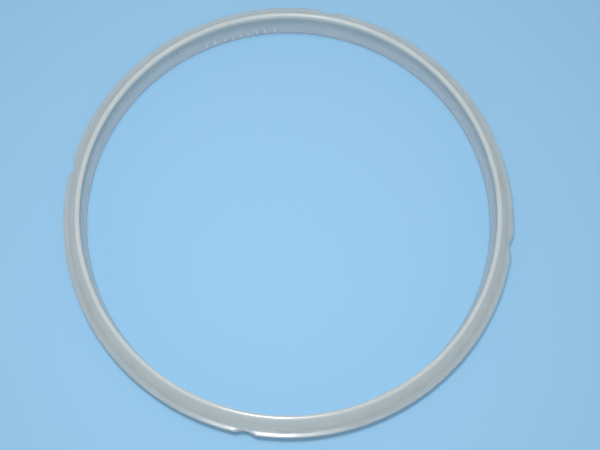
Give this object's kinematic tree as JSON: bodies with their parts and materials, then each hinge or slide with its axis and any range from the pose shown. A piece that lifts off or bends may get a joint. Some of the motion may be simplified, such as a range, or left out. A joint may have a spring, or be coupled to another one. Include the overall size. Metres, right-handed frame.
{
  "type": "pressure cooker sealing ring",
  "caption": "Round silicone ring that seals a pressure cooker's lid to its pot, with a top bead, a sloping shoulder, a thin notched flange and a skirt tapering to a thin inner lip.",
  "frame": {"origin": "on the ring's axis, in the plane that the sealing lip rests on", "axes": "+Z along the ring's axis, from the lip towards the top bead; +X and +Y each point at the middle of a notch in the flange"},
  "size_m": [0.2398, 0.2398, 0.0204],
  "materials": {
    "silicone": "translucent milky silicone, satin moulded skin"
  },
  "bodies": {
    "root": {"sealing_ring": "silicone"}
  },
  "joints": []
}
